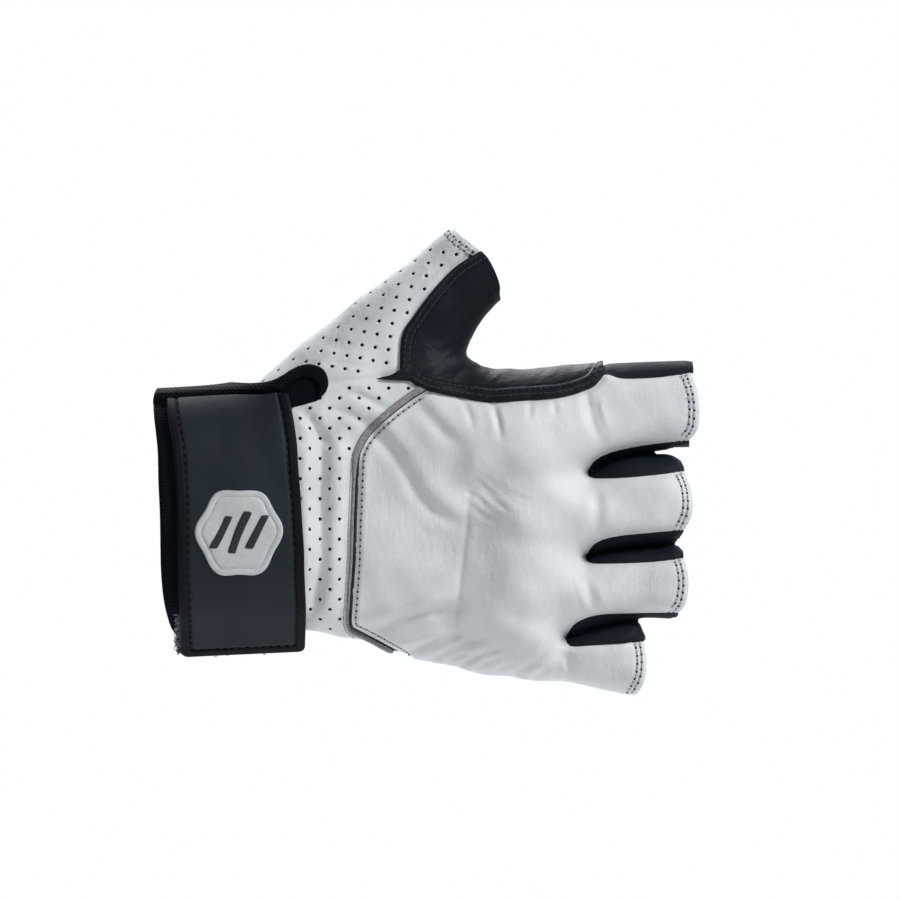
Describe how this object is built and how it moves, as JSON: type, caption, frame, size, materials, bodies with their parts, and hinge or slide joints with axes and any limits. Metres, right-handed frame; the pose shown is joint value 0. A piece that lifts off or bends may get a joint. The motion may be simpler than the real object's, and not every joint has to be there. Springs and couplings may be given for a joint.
{
  "type": "fingerless motorcycle glove, right hand",
  "caption": "Short fingerless leather motorcycle glove with a perforated wrist and thumb, a wide wrist strap and open finger stalls.",
  "frame": {"origin": "centre of the wrist opening", "axes": "+X along the fingers, +Z towards the thumb side, and the back of the hand faces -Y"},
  "size_m": [0.1687, 0.053, 0.145],
  "materials": {
    "white_leather": "smooth off-white leather",
    "perforated_leather": "off-white leather with small holes",
    "black_leather": "soft black leather",
    "strap_leather": "smooth dark grey synthetic leather",
    "binding_tape": "woven black tape",
    "grey_edge": "matt grey raw edge",
    "emblem": "matt pale grey",
    "loop_fuzz": "looped fuzz"
  },
  "bodies": {
    "root": {"back_panel": "white_leather", "wrist_panel": "perforated_leather", "thumb_panel": "perforated_leather", "web_patch": "black_leather", "welt_strip": "grey_edge", "index_side_panel": "black_leather", "gusset_index_middle": "black_leather", "gusset_middle_ring": "black_leather", "gusset_ring_little": "black_leather", "palm_panel": "black_leather", "cuff_binding": "binding_tape", "slit_binding": "binding_tape", "slit_gusset": "binding_tape", "wrist_strap": "strap_leather", "strap_border": "strap_leather", "strap_emblem": "emblem", "loop_pad": "loop_fuzz"}
  },
  "joints": []
}
